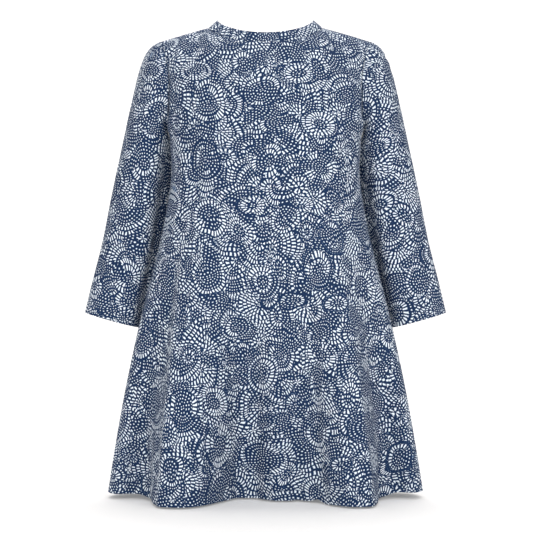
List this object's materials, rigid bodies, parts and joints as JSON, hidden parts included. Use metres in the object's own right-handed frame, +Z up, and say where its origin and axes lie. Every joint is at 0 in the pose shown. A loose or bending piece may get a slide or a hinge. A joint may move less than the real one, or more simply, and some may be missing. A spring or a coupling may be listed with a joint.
{
  "type": "mock neck tunic dress",
  "caption": "Mock neck tunic dress in printed jersey with set-in three-quarter sleeves and a flared, curved hem, hollow and filled out as worn.",
  "frame": {"origin": "middle of the neck at the height of the neck points, where the shoulders carry the garment", "axes": "+Z up; the front faces -Y; the wearer's left sleeve is on +X"},
  "size_m": [0.654, 0.2684, 0.851],
  "materials": {
    "printed_jersey": "smooth matt jersey, navy with a dense pattern of small white dashes"
  },
  "bodies": {
    "root": {"front_panel": "printed_jersey", "back_panel": "printed_jersey", "sleeve_right": "printed_jersey", "sleeve_left": "printed_jersey", "neck_band": "printed_jersey"}
  },
  "joints": []
}
